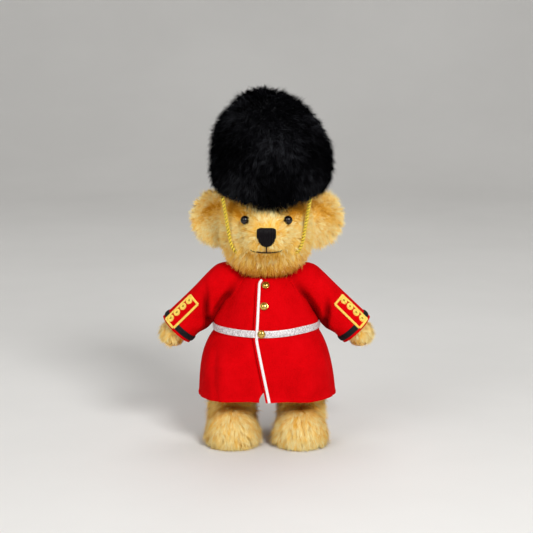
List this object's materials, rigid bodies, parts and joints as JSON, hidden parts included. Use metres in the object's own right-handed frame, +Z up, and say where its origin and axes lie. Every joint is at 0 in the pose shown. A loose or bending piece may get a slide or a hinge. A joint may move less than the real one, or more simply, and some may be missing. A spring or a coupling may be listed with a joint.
{
  "type": "teddy bear",
  "caption": "Jointed plush teddy bear in a red guard's coat and tall black fur hat, standing, with turning head, arms and legs.",
  "frame": {"origin": "on the floor, under the middle of the bear's bounding box", "axes": "+Z up, the bear faces -Y, its own left side is +X"},
  "size_m": [0.1518, 0.0838, 0.2516],
  "materials": {
    "gold_plush": "long pile mohair plush",
    "stuffing": "loose fibre stuffing",
    "red_felt": "matt wool felt",
    "white_ribbon": "silver-white woven ribbon",
    "black_fur": "black pile fur",
    "black_trim": "black felt and thread",
    "gold_thread": "gold thread",
    "tan_felt": "matt felt",
    "brass_button": "polished",
    "black_glass": "glossy",
    "disc_board": "pressed hardboard",
    "steel": "plated"
  },
  "bodies": {
    "torso": {"torso_plush": "gold_plush", "torso_stuffing": "stuffing", "torso_discs": "disc_board", "torso_washers": "steel", "coat_back": "red_felt", "coat_front_left": "red_felt", "coat_front_right": "red_felt", "collar": "red_felt", "coat_piping": "white_ribbon", "belt": "white_ribbon", "buttons": "brass_button", "skirt_back": "red_felt"},
    "head": {"head_plush": "gold_plush", "head_stuffing": "stuffing", "ear_left": "gold_plush", "ear_right": "gold_plush", "eye_left": "black_glass", "eye_right": "black_glass", "nose": "black_trim", "mouth": "black_trim", "hat_plush": "black_fur", "hat_stuffing": "stuffing", "hat_lining": "black_trim", "chin_cord": "gold_thread", "head_disc": "disc_board", "head_washer": "steel", "neck_pin": "steel"},
    "arm_left": {"arm_left_plush": "gold_plush", "arm_left_stuffing": "stuffing", "paw_pad_left": "tan_felt", "sleeve_left": "red_felt", "cuff_band_left": "black_trim", "cuff_patch_left": "gold_thread", "arm_disc_left": "disc_board", "arm_washer_left": "steel", "arm_pin_left": "steel"},
    "arm_right": {"arm_right_plush": "gold_plush", "arm_right_stuffing": "stuffing", "paw_pad_right": "tan_felt", "sleeve_right": "red_felt", "cuff_band_right": "black_trim", "cuff_patch_right": "gold_thread", "arm_disc_right": "disc_board", "arm_washer_right": "steel", "arm_pin_right": "steel"},
    "leg_left": {"leg_left_plush": "gold_plush", "leg_left_stuffing": "stuffing", "foot_pad_left": "tan_felt", "leg_disc_left": "disc_board", "leg_washer_left": "steel", "leg_pin_left": "steel"},
    "leg_right": {"leg_right_plush": "gold_plush", "leg_right_stuffing": "stuffing", "foot_pad_right": "tan_felt", "leg_disc_right": "disc_board", "leg_washer_right": "steel", "leg_pin_right": "steel"},
    "skirt_flap_left": {"skirt_left": "red_felt", "skirt_piping": "white_ribbon"},
    "skirt_flap_right": {"skirt_right": "red_felt"}
  },
  "joints": [
    {"name": "neck", "type": "hinge", "parent": "torso", "child": "head", "pos_m": [0, 0, 0.118], "axis": [0, 0, 1], "range_deg": [-80, 80]},
    {"name": "shoulder_left", "type": "hinge", "parent": "torso", "child": "arm_left", "pos_m": [0.02062, 0, 0.11142], "axis": [-0.8387, 0, -0.5446], "range_deg": [-45, 95]},
    {"name": "shoulder_right", "type": "hinge", "parent": "torso", "child": "arm_right", "pos_m": [-0.02062, 0, 0.11142], "axis": [-0.8387, 0, 0.5446], "range_deg": [-45, 95]},
    {"name": "hip_left", "type": "hinge", "parent": "torso", "child": "leg_left", "pos_m": [0.0185, 0, 0.061], "axis": [-1, 0, 0], "range_deg": [0, 68], "deforming": ["skirt_left", "skirt_piping"]},
    {"name": "hip_right", "type": "hinge", "parent": "torso", "child": "leg_right", "pos_m": [-0.0185, 0, 0.061], "axis": [-1, 0, 0], "range_deg": [0, 68], "deforming": ["skirt_right"]},
    {"name": "skirt_lift_left", "type": "hinge", "parent": "torso", "child": "skirt_flap_left", "pos_m": [0, -0.0342, 0.0798], "axis": [-1, 0, 0], "range_deg": [0, 90]},
    {"name": "skirt_lift_right", "type": "hinge", "parent": "torso", "child": "skirt_flap_right", "pos_m": [0, -0.0342, 0.0798], "axis": [-1, 0, 0], "range_deg": [0, 90]}
  ],
  "couplings": [
    {"joint": "skirt_lift_left", "follows": "hip_left", "ratio": 1.25},
    {"joint": "skirt_lift_right", "follows": "hip_right", "ratio": 1.25}
  ]
}
